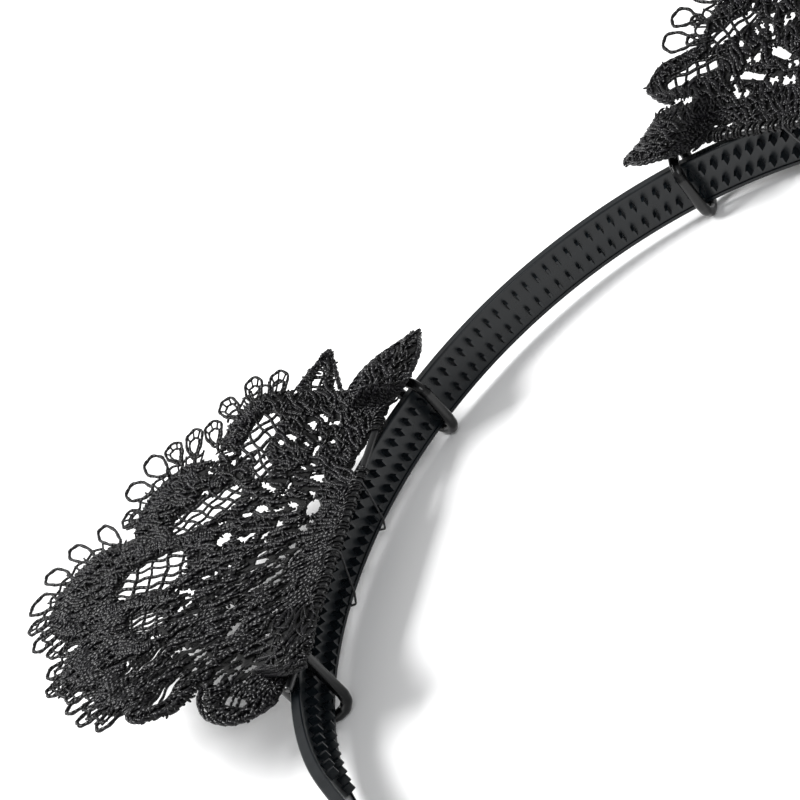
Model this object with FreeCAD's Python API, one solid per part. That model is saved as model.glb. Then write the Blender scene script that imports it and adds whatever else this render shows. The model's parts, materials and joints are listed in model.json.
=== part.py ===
"""Lace cat-ears headband, lying flat with its crown towards +Y.

+X is the wearer's side with the right ear, +Z is the width of the band. The origin is on the table,
under the middle of the object's footprint, and the headband is the same on both sides of X = 0.
"""
import FreeCAD, Part
import math
import os

Vector = FreeCAD.Vector

# ---- hair band: one moulding -------------------------------------------------------------------
BAND_WIDTH = 8.5                # across the strap, along Z
BAND_THICKNESS = 1.75
CROWN_RADIUS = 59.2             # bend of the strap's middle line at the crown
FLATTENING = -0.93              # how the bend falls away past the crown, per (100 mm) squared
BEND_RETURN = 0.91              # how it comes back towards the legs, per (100 mm) to the fourth
BEND_END = 114.0                # along the strap from the crown to the last of the shaped bend
LEG_BEND = 0.35                 # bend of the leg beyond it, as a share of the bend at the crown
ARM_LENGTH = 158.0              # along the strap from the crown to a tip
EDGE_ROUND = 0.25
TIP_ROUND = 3.9                 # corner radius of the strap's rounded tips
LIP_WIDTH = 0.65                # raised lip along both edges of the inner face
LIP_HEIGHT = 0.25
LIP_END = 9.0                   # plain strap left beyond the lips at each tip

TOOTH_PITCH = 2.2
TOOTH_REACH = 112.5             # along the strap from the crown to the last tooth
TOOTH_HEIGHT = 1.15
TOOTH_FOOT = (0.6, 1.5)         # along the strap, across it
TOOTH_TOP = (0.38, 1.2)
TOOTH_ROW = 1.8                 # from the strap's middle to each of the two rows
TOOTH_SUNK = 0.3                # how far a tooth runs into the strap, so that the two are one piece

# ---- clearances --------------------------------------------------------------------------------
RING_GAP = 0.3                  # between a ring and the strap, its teeth or the base wire
TIE_GAP = 0.3                   # between a thread tie and the strap, its teeth or the base wire
EAR_GAP = 0.75                  # between the base wire and the strap's front edge

# ---- rings, ties and base wire of one ear ------------------------------------------------------
RING_THICKNESS = 1.8
RING_SLACK = 1.75               # radius of the round shape that a ring keeps about each edge of the strap
RING_SLACK_AT = (0.3, 2.65)     # its centre: inward from the strap's middle, above or below it
INNER_RING_AT = 29.0            # along the strap from the crown
OUTER_RING_AT = 89.0
TIE_THICKNESS = 0.35
TIES_AT = (51.2, 66.9)          # along the strap from the crown
WIRE_THICKNESS = 1.2
WIRE_REACH = (31.5, 34.0)       # from the ear's middle past the outer ring, past the inner ring

# ---- lace ear ----------------------------------------------------------------------------------
BASE_INNER_END = (31.6, 2.6)    # place along the strap, and outward of it, that the base runs to
BASE_OUTER_END = (92.2, -0.4)
EAR_HEIGHT = 57.0               # from the base wire to the ear's tip
EAR_LIFT = 7.0                  # how far the ear leans to the front, in degrees
EAR_CUP = 5.0                   # how far its two sides rise above its middle
CUP_WIDTH = 36.0                # distance from the middle at which it has risen that far
CUP_START = 25.0                # height over which the cupping builds up
EAR_HALF_WIDTHS = (35.0, 43.0, 36.0, 27.0, 6.0)   # control values from the base to the tip
EAR_SHOULDER = 5.0              # how much lower the tip's corners are than its middle
RING_CLEAR = 5.5                # the lace starts this far above the wire where the rings pass
RING_CLEAR_FROM = (19.0, 25.0)  # distances from the ear's middle between which it rises to that
LACE_THICKNESS = 0.8
TIE_NOTCH = (2.4, 8.0)          # slots in the lace for the ties: along the base, up from the wire

# ---- derived sizes -----------------------------------------------------------------------------
HALF_WIDTH = BAND_WIDTH / 2
HALF_THICKNESS = BAND_THICKNESS / 2
RING_RADIUS = RING_THICKNESS / 2
TIE_RADIUS = TIE_THICKNESS / 2
WIRE_RADIUS = WIRE_THICKNESS / 2
WIRE_HEIGHT = HALF_WIDTH + EAR_GAP + WIRE_RADIUS              # above the strap's middle line
RING_HALF = max(HALF_WIDTH, RING_SLACK_AT[1] + RING_SLACK)    # what a ring goes round, below it
RING_DROP = RING_HALF + RING_GAP + RING_RADIUS
MIDDLE_HEIGHT = RING_DROP + RING_RADIUS                       # the rings stand on the table
TOOTH_TIP = HALF_THICKNESS + TOOTH_HEIGHT
STEP = 0.5


def heading(along):
    """Angle the strap has turned through at a distance along it from the crown, in radians."""
    shaped = min(along, BEND_END)
    share = shaped / 100.0
    turned = shaped + FLATTENING * 100 * share**3 / 3 + BEND_RETURN * 100 * share**5 / 5
    return (turned + LEG_BEND * (along - shaped)) / CROWN_RADIUS


def left_arm():
    """Points of the left arm's middle line from the crown, each STEP further along it."""
    points = [(0.0, 0.0)]
    for i in range(int(round(ARM_LENGTH / STEP))):
        turned = heading((i + 0.5) * STEP)
        x, y = points[-1]
        points.append((x - STEP * math.cos(turned), y - STEP * math.sin(turned)))
    return points


ARM = left_arm()


def on_left_arm(along, outward=0.0, height=0.0):
    """A point beside the left arm: outward from its middle line, and above it."""
    whole = min(max(along, 0.0), ARM_LENGTH) / STEP
    i = min(int(whole), len(ARM) - 2)
    share = whole - i
    x = ARM[i][0] + share * (ARM[i + 1][0] - ARM[i][0])
    y = ARM[i][1] + share * (ARM[i + 1][1] - ARM[i][1])
    turned = heading(along)
    return Vector(x - outward * math.sin(turned), y + outward * math.cos(turned), height)


def mirrored(point):
    """The same point on the other side of the headband."""
    return Vector(-point.x, point.y, point.z)


def arch_curve(outward, reach):
    """Smooth curve at a distance outward from the strap's middle line, from tip to tip."""
    count = 44
    left = [on_left_arm(reach * (1 - i / count), outward) for i in range(count)]
    right = [mirrored(p) for p in reversed(left)]
    curve = Part.BSplineCurve()
    curve.interpolate(left + [on_left_arm(0.0, outward)] + right)
    return curve.toShape()


def arch_slab(inner, outer, width, reach):
    """Slab between two arch curves, centred on the strap's middle plane."""
    low, high = arch_curve(inner, reach), arch_curve(outer, reach)
    first = Part.makeLine(low.Vertexes[0].Point, high.Vertexes[0].Point)
    last = Part.makeLine(low.Vertexes[-1].Point, high.Vertexes[-1].Point)
    face = Part.Face(Part.Wire(Part.__sortEdges__([low, last, high, first])))
    face.translate(Vector(0, 0, -width / 2))
    return face.extrude(Vector(0, 0, width))


def tooth(along, across):
    """One tooth of the left arm, a small wedge that stands inward from the strap."""
    length, breadth = TOOTH_FOOT
    top_length, top_breadth = TOOTH_TOP
    wedge = Part.makeWedge(
        -length / 2, 0.0, -breadth / 2, -top_breadth / 2, -top_length / 2,
        length / 2, TOOTH_HEIGHT + TOOTH_SUNK, breadth / 2, top_breadth / 2, top_length / 2)
    wedge.rotate(Vector(), Vector(0, 0, 1), 180 + math.degrees(heading(along)))
    wedge.translate(on_left_arm(along, -HALF_THICKNESS + TOOTH_SUNK, across))
    return wedge


def across_mirror(shape):
    """The shape's mirror image on the other side of the headband."""
    return shape.mirror(Vector(), Vector(1, 0, 0))


def hair_band():
    """The strap with its lips and its two rows of teeth."""
    strap = arch_slab(-HALF_THICKNESS, HALF_THICKNESS, BAND_WIDTH, ARM_LENGTH)
    corners = [edge for edge in strap.Edges if abs(edge.Length - BAND_THICKNESS) < 0.2]
    strap = strap.makeFillet(TIP_ROUND, corners)
    long_edges = [edge for edge in strap.Edges if edge.Length > 100]
    strap = strap.makeFillet(EDGE_ROUND, long_edges)
    floor = -HALF_THICKNESS + LIP_HEIGHT
    channel = arch_slab(-HALF_THICKNESS - 1, floor, BAND_WIDTH - 2 * LIP_WIDTH, ARM_LENGTH - LIP_END)
    strap = strap.cut(channel)
    teeth = []
    for i in range(int(TOOTH_REACH / TOOTH_PITCH)):
        along = (i + 0.5) * TOOTH_PITCH
        for row in (-TOOTH_ROW, TOOTH_ROW):
            left = tooth(along, row)
            teeth += [left, across_mirror(left)]
    return strap.fuse(teeth)


BASE_ENDS = [on_left_arm(*end, WIRE_HEIGHT) for end in (BASE_OUTER_END, BASE_INNER_END)]
BASE_MIDDLE = (BASE_ENDS[0] + BASE_ENDS[1]) / 2
BASE_WAY = (BASE_ENDS[1] - BASE_ENDS[0]).normalize()     # along the left ear's base, to the crown
OUT_WAY = Vector(-BASE_WAY.y, BASE_WAY.x, 0)             # square to it, away from the head


def on_base(along):
    """A point of the left ear's base line, on the base wire's middle."""
    return BASE_MIDDLE + BASE_WAY * along


def wire_crossing(along):
    """How far outward of the strap's middle line the base wire passes, at a place along the strap."""
    start, outward = on_left_arm(along), on_left_arm(along, 1.0) - on_left_arm(along)
    gap = on_base(0) - start
    return (gap.x * OUT_WAY.x + gap.y * OUT_WAY.y) / (outward.x * OUT_WAY.x + outward.y * OUT_WAY.y)


def hull(points):
    """The convex outline of flat points, anticlockwise."""
    outline = []
    for ordered in (sorted(points), sorted(points, reverse=True)):
        chain = []
        for x, y in ordered:
            while len(chain) > 1:
                (ax, ay), (bx, by) = chain[-2:]
                if (bx - ax) * (y - ay) - (by - ay) * (x - ax) > 1e-9:
                    break
                chain.pop()
            chain.append((x, y))
        outline += chain[:-1]
    return outline


def ring_path(points, reach, place):
    """Closed path of straights and arcs that stays reach away from the hull of flat points."""
    corners = hull(points)
    ways = []
    for i, (x, y) in enumerate(corners):
        next_x, next_y = corners[(i + 1) % len(corners)]
        ways.append(math.atan2(next_y - y, next_x - x) - math.pi / 2)
    edges, last = [], None
    for i, (x, y) in enumerate(corners):
        before, after = ways[i - 1], ways[i]
        turn = (after - before) % (2 * math.pi)
        arc = [place(x + reach * math.cos(before + share * turn), y + reach * math.sin(before + share * turn))
               for share in (0, 0.5, 1)]
        if last is not None:
            edges.append(Part.makeLine(last, arc[0]))
        else:
            first = arc[0]
        edges.append(Part.Arc(*arc).toShape())
        last = arc[2]
    edges.append(Part.makeLine(last, first))
    return Part.Wire(edges), first, edges[0].tangentAt(edges[0].FirstParameter)


def circle_points(n, z, radius):
    """Points every 30 degrees round a circle in the strap's cross-section."""
    turns = [math.radians(30 * i) for i in range(12)]
    return [(n + radius * math.cos(turn), z + radius * math.sin(turn)) for turn in turns]


def loop_round_band(along, radius, gap, slack=0.0):
    """A round-sectioned loop, in the strap's cross-section, that holds the base wire to the strap.

    With slack it stands off the strap's edges in a round of that radius, and without it lies close.
    """
    rows = TOOTH_ROW + TOOTH_FOOT[1] / 2
    points = [(-TOOTH_TIP, -rows), (-TOOTH_TIP, rows)]
    points += [(n, z) for n in (-HALF_THICKNESS, HALF_THICKNESS) for z in (-HALF_WIDTH, HALF_WIDTH)]
    points += circle_points(wire_crossing(along), WIRE_HEIGHT, WIRE_RADIUS)
    if slack:
        inward, off_middle = RING_SLACK_AT
        for z in (-off_middle, off_middle):
            points += circle_points(-inward, z, slack)
    path, start, way = ring_path(points, radius + gap, lambda n, z: on_left_arm(along, n, z))
    section = Part.Wire(Part.makeCircle(radius, start, way))
    return path.makePipeShell([section], True, True)


def base_wire():
    """Coated wire along the lace's base; its ends are held in the two rings."""
    outer, inner = WIRE_REACH
    wire = Part.makeCylinder(WIRE_RADIUS, outer + inner, on_base(-outer), BASE_WAY)
    return wire.makeFillet(WIRE_RADIUS * 0.6, wire.Edges[:1] + wire.Edges[2:])


def blend_up(share):
    """Rises smoothly from 0 to 1 as the share does."""
    share = min(max(share, 0.0), 1.0)
    return share * share * (3 - 2 * share)


def ear_point(across, up):
    """A point of the lace's middle surface, from flat distances along the base and up from it."""
    lift = math.radians(EAR_LIFT)
    rise = EAR_CUP * (across / CUP_WIDTH) ** 2 * blend_up(up / CUP_START)
    out = up * math.cos(lift) - rise * math.sin(lift)
    height = up * math.sin(lift) + rise * math.cos(lift)
    return on_base(across) + OUT_WAY * out + Vector(0, 0, height)


def half_width(share):
    """Half the ear's width at a share of its height: a smooth curve from EAR_HALF_WIDTHS."""
    order = len(EAR_HALF_WIDTHS) - 1
    total = 0.0
    for i, width in enumerate(EAR_HALF_WIDTHS):
        total += math.comb(order, i) * share**i * (1 - share) ** (order - i) * width
    return total


def lace_point(side, share):
    """Flat place of a grid point: side runs from -1 to 1 across, share from 0 at the base to 1."""
    across = side * half_width(share)
    start, end = RING_CLEAR_FROM
    bottom = RING_CLEAR * blend_up((abs(side) * EAR_HALF_WIDTHS[0] - start) / (end - start))
    top = EAR_HEIGHT - EAR_SHOULDER * side * side
    return across, bottom + share * (top - bottom)


def lace_ear():
    """The lace as one thin cupped sheet, with openings at the thread ties."""
    columns, rows = 33, 13
    lean = math.radians(EAR_LIFT)
    normal = Vector(0, 0, 1) * math.cos(lean) - OUT_WAY * math.sin(lean)
    skins = []
    for half in (-LACE_THICKNESS / 2, LACE_THICKNESS / 2):
        grid = []
        for i in range(columns):
            places = [lace_point(-1 + 2 * i / (columns - 1), j / (rows - 1)) for j in range(rows)]
            grid.append([ear_point(*place) + normal * half for place in places])
        surface = Part.BSplineSurface()
        surface.interpolate(grid)
        skins.append(surface)
    faces = [skin.toShape() for skin in skins]
    low, high = skins
    for iso in ("u", "v"):
        for end in (0, 1):
            edges = []
            for skin in (low, high):
                bounds = skin.bounds()
                if iso == "u":
                    edges.append(skin.uIso(bounds[end]).toShape())
                else:
                    edges.append(skin.vIso(bounds[2 + end]).toShape())
            faces.append(Part.makeRuledSurface(*edges))
    shell = Part.Shell(Part.makeShell(faces).Faces)
    shell.sewShape()
    sheet = Part.Solid(shell)
    if sheet.Volume < 0:
        sheet.reverse()
    long, deep = TIE_NOTCH
    for along in TIES_AT:
        crossing = on_left_arm(along, wire_crossing(along), WIRE_HEIGHT)
        notch = Part.makeBox(long, deep + 2, 3, Vector(-long / 2, -2, -1.5))
        notch.rotate(Vector(), Vector(0, 0, 1), math.degrees(math.atan2(BASE_WAY.y, BASE_WAY.x)))
        notch.translate(crossing)
        sheet = sheet.cut(notch)
    return sheet


def main():
    """Makes every node, stands the rings on the table, and writes the STEP files."""
    nodes = {"hair_band": hair_band()}
    left = {
        "lace": lace_ear(),
        "base_wire": base_wire(),
        "inner_ring": loop_round_band(INNER_RING_AT, RING_RADIUS, RING_GAP, RING_SLACK),
        "outer_ring": loop_round_band(OUTER_RING_AT, RING_RADIUS, RING_GAP, RING_SLACK),
        "upper_tie": loop_round_band(TIES_AT[0], TIE_RADIUS, TIE_GAP),
        "lower_tie": loop_round_band(TIES_AT[1], TIE_RADIUS, TIE_GAP),
    }
    for name, shape in left.items():
        nodes["left_" + name] = shape
        nodes["right_" + name] = across_mirror(shape)
    box = Part.makeCompound(list(nodes.values())).optimalBoundingBox(False)
    to_table = Vector(0, -(box.YMin + box.YMax) / 2, MIDDLE_HEIGHT)
    os.makedirs("parts", exist_ok=True)
    for name, shape in nodes.items():
        shape.translate(to_table)
        solid = shape.Solids[0]
        limits = solid.BoundBox
        sides = (limits.XMin, limits.XMax, limits.YMin, limits.YMax, limits.ZMin, limits.ZMax)
        box_text = [round(v, 2) for v in sides]
        print(name, "valid", solid.isValid(), "volume", round(solid.Volume, 2), "box", box_text)
        solid.exportStep("parts/%s.step" % name)
    base = BASE_MIDDLE + to_table
    print("crown at y", round(to_table.y, 3), "middle plane at z", MIDDLE_HEIGHT)
    print("ear base", [round(v, 4) for v in base], "slant", math.degrees(math.atan2(BASE_WAY.y, BASE_WAY.x)))


main()
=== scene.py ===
"""A hair band with two lace cat ears, dressed for the studio.

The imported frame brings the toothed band, the rubber rings, the base wires and the thread ties, which keep
their shapes and get their finishes here. The two plain lace solids are replaced by embroidered lace, stitched
thread by thread on the same curved surface: a ground, ribs, filling stitches, a satin edging, net windows,
satin bands, picot loops and the whipping that holds the lace to its wire.
"""

from __future__ import annotations

import json
import logging
import math
from dataclasses import dataclass, replace
from enum import Enum

import bpy
import numpy as np
from mathutils import Matrix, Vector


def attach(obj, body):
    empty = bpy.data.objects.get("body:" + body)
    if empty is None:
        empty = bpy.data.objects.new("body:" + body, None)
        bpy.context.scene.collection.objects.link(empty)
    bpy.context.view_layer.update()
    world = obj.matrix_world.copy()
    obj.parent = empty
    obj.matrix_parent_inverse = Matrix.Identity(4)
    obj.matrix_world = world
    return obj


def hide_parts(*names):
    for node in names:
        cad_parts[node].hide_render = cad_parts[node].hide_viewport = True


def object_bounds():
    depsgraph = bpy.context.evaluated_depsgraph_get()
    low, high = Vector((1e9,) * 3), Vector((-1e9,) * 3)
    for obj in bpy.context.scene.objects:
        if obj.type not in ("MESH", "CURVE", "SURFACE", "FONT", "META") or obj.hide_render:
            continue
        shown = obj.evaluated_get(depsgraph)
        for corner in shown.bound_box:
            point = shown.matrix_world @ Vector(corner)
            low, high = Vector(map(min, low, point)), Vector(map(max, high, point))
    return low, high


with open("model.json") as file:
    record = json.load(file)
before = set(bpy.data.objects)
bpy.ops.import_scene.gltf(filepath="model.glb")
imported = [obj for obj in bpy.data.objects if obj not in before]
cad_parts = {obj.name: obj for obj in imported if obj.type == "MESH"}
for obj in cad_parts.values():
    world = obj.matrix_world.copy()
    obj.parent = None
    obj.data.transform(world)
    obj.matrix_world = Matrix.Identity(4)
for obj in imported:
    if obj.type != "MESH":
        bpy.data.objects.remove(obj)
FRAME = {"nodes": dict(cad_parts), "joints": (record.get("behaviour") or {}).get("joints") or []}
CAD_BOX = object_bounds()

LOG = logging.getLogger("lace_ears")
MM = 0.001

# Flat places along a curve, and the stretches of u and v that some work is laid out over, in millimetres.
Line = tuple[tuple[float, float], ...]
Span = tuple[tuple[float, float], tuple[float, float]]


class Side(Enum):
    """Which ear of the pair, by its word in the names of pieces and bodies."""

    LEFT = "left"
    RIGHT = "right"


# ---------------------------------------------------------------------------------------------- materials


def linear(colour: str) -> tuple[float, float, float, float]:
    """Turn an sRGB hex colour into linear light.

    Each channel c goes to c / 12.92 below 0.04045 and to ((c + 0.055) / 1.055) to the power 2.4 above it.

    Args:
        colour: Six hex digits after a hash sign.

    Returns:
        Red, green, blue and an alpha of 1.
    """
    channels = [int(colour[i : i + 2], 16) / 255 for i in (1, 3, 5)]
    curve = [c / 12.92 if c <= 0.04045 else ((c + 0.055) / 1.055) ** 2.4 for c in channels]
    return (curve[0], curve[1], curve[2], 1.0)


def add_node(tree: bpy.types.NodeTree, kind: str, links: dict | None = None, **settings) -> bpy.types.Node:
    """Add one node with its settings, socket values and incoming links.

    Args:
        tree: The node tree that gets it.
        kind: The node's type name.
        links: The outputs to join, keyed by this node's input name or number.
        **settings: Attributes of the node. The one called values is a dict of input socket values.

    Returns:
        The new node.
    """
    node = tree.nodes.new(kind)
    for socket, value in settings.pop("values", {}).items():
        node.inputs[socket].default_value = value
    for name, value in settings.items():
        setattr(node, name, value)
    for socket, output in (links or {}).items():
        tree.links.new(output, node.inputs[socket])
    return node


def new_material(name: str, shader_values: dict) -> tuple[bpy.types.Material, bpy.types.Node]:
    """Start a material with one Principled shader.

    Args:
        name: The material's name.
        shader_values: Values set straight on the shader's sockets.

    Returns:
        The material and its shader node.
    """
    material = bpy.data.materials.new(name)
    material.use_nodes = True
    shader = material.node_tree.nodes["Principled BSDF"]
    for socket, value in shader_values.items():
        shader.inputs[socket].default_value = value
    return material, shader


def two_tones(
    tree: bpy.types.NodeTree, driver: bpy.types.NodeSocket, dark: str, light: str
) -> bpy.types.Node:
    """Spread a value from 0 to 1 over two colours.

    Args:
        tree: The node tree that gets the ramp.
        driver: The output that drives it.
        dark: The colour at 0.
        light: The colour at 1.

    Returns:
        The ramp node.
    """
    ramp = add_node(tree, "ShaderNodeValToRGB", {"Fac": driver})
    ramp.color_ramp.elements[0].color = linear(dark)
    ramp.color_ramp.elements[1].color = linear(light)
    return ramp


@dataclass(frozen=True)
class MouldedStyrene:
    """Injection-moulded black polystyrene: a satin skin over a faint flow texture, cool in its highlights."""

    dark: str = "#04070a"
    light: str = "#0c1216"
    roughness: float = 0.27
    flow_mm: float = 3.0
    grain_mm: float = 0.18

    def material(self) -> bpy.types.Material:
        """Make the band's material: cloudy tone, roughness that drifts with it, and a fine moulded grain."""
        material, shader = new_material("moulded_styrene", {"IOR": 1.55, "Specular IOR Level": 0.3})
        tree = material.node_tree
        place = add_node(tree, "ShaderNodeTexCoord").outputs["Object"]
        flow_values = {"Scale": 1 / (self.flow_mm * MM), "Detail": 4.0}
        flow = add_node(tree, "ShaderNodeTexNoise", {"Vector": place}, values=flow_values)
        grain_values = {"Scale": 1 / (self.grain_mm * MM), "Detail": 2.0}
        grain = add_node(tree, "ShaderNodeTexNoise", {"Vector": place}, values=grain_values)
        tone = two_tones(tree, flow.outputs["Fac"], self.dark, self.light)
        spread_values = {"To Min": self.roughness - 0.05, "To Max": self.roughness + 0.09}
        spread = add_node(tree, "ShaderNodeMapRange", {"Value": flow.outputs["Fac"]}, values=spread_values)
        bump_values = {"Strength": 0.12, "Distance": 0.02 * MM}
        bump = add_node(tree, "ShaderNodeBump", {"Height": grain.outputs["Fac"]}, values=bump_values)
        tree.links.new(tone.outputs["Color"], shader.inputs["Base Color"])
        tree.links.new(spread.outputs["Result"], shader.inputs["Roughness"])
        tree.links.new(bump.outputs["Normal"], shader.inputs["Normal"])
        return material


@dataclass(frozen=True)
class NitrileRubber:
    """Moulded black nitrile rubber: a smooth, slightly oily gloss with a faint bloom."""

    dark: str = "#030304"
    light: str = "#0a0b0c"
    roughness: float = 0.2
    bloom_mm: float = 1.4

    def material(self) -> bpy.types.Material:
        """Make the rings' material: dark rubber whose gloss is broken by a soft bloom."""
        material, shader = new_material("nitrile_rubber", {"IOR": 1.52, "Specular IOR Level": 0.35})
        tree = material.node_tree
        place = add_node(tree, "ShaderNodeTexCoord").outputs["Object"]
        bloom_values = {"Scale": 1 / (self.bloom_mm * MM), "Detail": 5.0, "Roughness": 0.6}
        bloom = add_node(tree, "ShaderNodeTexNoise", {"Vector": place}, values=bloom_values)
        tone = two_tones(tree, bloom.outputs["Fac"], self.dark, self.light)
        spread_values = {"To Min": self.roughness - 0.06, "To Max": self.roughness + 0.12}
        spread = add_node(tree, "ShaderNodeMapRange", {"Value": bloom.outputs["Fac"]}, values=spread_values)
        bump_values = {"Strength": 0.08, "Distance": 0.03 * MM}
        bump = add_node(tree, "ShaderNodeBump", {"Height": bloom.outputs["Fac"]}, values=bump_values)
        tree.links.new(tone.outputs["Color"], shader.inputs["Base Color"])
        tree.links.new(spread.outputs["Result"], shader.inputs["Roughness"])
        tree.links.new(bump.outputs["Normal"], shader.inputs["Normal"])
        return material


@dataclass(frozen=True)
class LacqueredWire:
    """Black lacquered steel wire: an even paint film with a little orange peel and a clear gloss."""

    dark: str = "#070708"
    light: str = "#121315"
    roughness: float = 0.34
    peel_mm: float = 0.5

    def material(self) -> bpy.types.Material:
        """Make the base wires' material: paint whose skin ripples slightly."""
        material, shader = new_material("lacquered_wire", {"Roughness": self.roughness, "Coat Weight": 0.2})
        tree = material.node_tree
        place = add_node(tree, "ShaderNodeTexCoord").outputs["Object"]
        peel_values = {"Scale": 1 / (self.peel_mm * MM), "Detail": 3.0}
        peel = add_node(tree, "ShaderNodeTexNoise", {"Vector": place}, values=peel_values)
        tone = two_tones(tree, peel.outputs["Fac"], self.dark, self.light)
        bump_values = {"Strength": 0.15, "Distance": 0.03 * MM}
        bump = add_node(tree, "ShaderNodeBump", {"Height": peel.outputs["Fac"]}, values=bump_values)
        tree.links.new(tone.outputs["Color"], shader.inputs["Base Color"])
        tree.links.new(bump.outputs["Normal"], shader.inputs["Normal"])
        return material


@dataclass(frozen=True)
class TieThread:
    """Waxed black sewing thread: tight twist, with the wax filling the grooves, and painted shade darkening
    them.
    """

    dark: str = "#050506"
    light: str = "#18181b"
    roughness: float = 0.5
    twist_mm: float = 0.55

    def material(self) -> bpy.types.Material:
        """Make the ties' material: slanting bands for the twist, with painted shade darkening their grooves.
        """
        material, shader = new_material("tie_thread", {"Roughness": self.roughness})
        tree = material.node_tree
        place = add_node(tree, "ShaderNodeTexCoord").outputs["Object"]
        # The wave texture has about one band for each 0.31 of its coordinate at a scale of 1.
        wave_values = {"Scale": 0.31 / (self.twist_mm * MM), "Distortion": 1.2, "Detail": 1.0}
        wave = add_node(
            tree, "ShaderNodeTexWave", {"Vector": place}, values=wave_values, bands_direction="DIAGONAL"
        )
        # The tone follows the twist's height: painted shade, darkest in the grooves and lightest on the
        # ridges.
        tone = two_tones(tree, wave.outputs["Fac"], self.dark, self.light)
        bump_values = {"Strength": 0.6, "Distance": 0.08 * MM}
        bump = add_node(tree, "ShaderNodeBump", {"Height": wave.outputs["Fac"]}, values=bump_values)
        tree.links.new(tone.outputs["Color"], shader.inputs["Base Color"])
        tree.links.new(bump.outputs["Normal"], shader.inputs["Normal"])
        return material


@dataclass(frozen=True)
class LaceThread:
    """Twisted black polyester embroidery thread: grooves along each strand's twist, and a silky glint."""

    name: str = "polyester_lace_thread"
    dark: str = "#010101"
    light: str = "#121115"
    roughness: float = 0.33
    # A real twist of 0.4 mm is too fine to show, so the grooves are drawn twice as far apart.
    twist_mm: float = 0.8

    def material(self) -> bpy.types.Material:
        """Make the lace's material: the thread's own UV map carries the twist, and its shade the tone."""
        shader_values = {"Roughness": self.roughness, "Specular IOR Level": 0.28}
        material, shader = new_material(self.name, shader_values)
        tree = material.node_tree
        run = add_node(tree, "ShaderNodeUVMap", uv_map="run")
        parts = add_node(tree, "ShaderNodeSeparateXYZ", {"Vector": run.outputs["UV"]})
        turns = add_node(
            tree, "ShaderNodeMath", {0: parts.outputs["X"]}, operation="DIVIDE", values={1: self.twist_mm}
        )
        phase = add_node(
            tree, "ShaderNodeMath", {0: turns.outputs[0], 1: parts.outputs["Y"]}, operation="ADD"
        )
        angle = add_node(
            tree, "ShaderNodeMath", {0: phase.outputs[0]}, operation="MULTIPLY", values={1: math.tau}
        )
        groove = add_node(tree, "ShaderNodeMath", {0: angle.outputs[0]}, operation="SINE")
        bump_values = {"Strength": 0.8, "Distance": 0.07 * MM}
        bump = add_node(tree, "ShaderNodeBump", {"Height": groove.outputs[0]}, values=bump_values)
        shade = add_node(tree, "ShaderNodeAttribute", attribute_name="shade")
        tone = two_tones(tree, shade.outputs["Fac"], self.dark, self.light)
        tree.links.new(tone.outputs["Color"], shader.inputs["Base Color"])
        tree.links.new(bump.outputs["Normal"], shader.inputs["Normal"])
        return material


@dataclass(frozen=True)
class MattePaper:
    """Matte white background paper: no gloss, and a tooth too fine to catch the light."""

    colour: str = "#fbfbfb"

    def material(self) -> bpy.types.Material:
        """Make the table's material."""
        material, shader = new_material("matte_paper", {"Roughness": 0.9, "Specular IOR Level": 0.2})
        tree = material.node_tree
        place = add_node(tree, "ShaderNodeTexCoord").outputs["Object"]
        tooth = add_node(tree, "ShaderNodeTexNoise", {"Vector": place}, values={"Scale": 900.0})
        bump_values = {"Strength": 0.03, "Distance": 0.0001}
        bump = add_node(tree, "ShaderNodeBump", {"Height": tooth.outputs["Fac"]}, values=bump_values)
        shader.inputs["Base Color"].default_value = linear(self.colour)
        tree.links.new(bump.outputs["Normal"], shader.inputs["Normal"])
        return material


# ------------------------------------------------------------------------------------------ the ear's shape


def smooth_step(value: np.ndarray) -> np.ndarray:
    """Rise smoothly from 0 to 1: three times the square less twice the cube, between 0 and 1."""
    part = np.clip(value, 0.0, 1.0)
    return part * part * (3 - 2 * part)


def smooth_slope(value: np.ndarray) -> np.ndarray:
    """The slope of smooth_step: six times the value times one less it, between 0 and 1."""
    part = np.clip(value, 0.0, 1.0)
    return 6 * part * (1 - part)


def ramp(value: np.ndarray, first: float, last: float) -> np.ndarray:
    """Rise smoothly from 0 to 1 as the value goes from the first number to the last."""
    return smooth_step((value - first) / (last - first))


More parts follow.
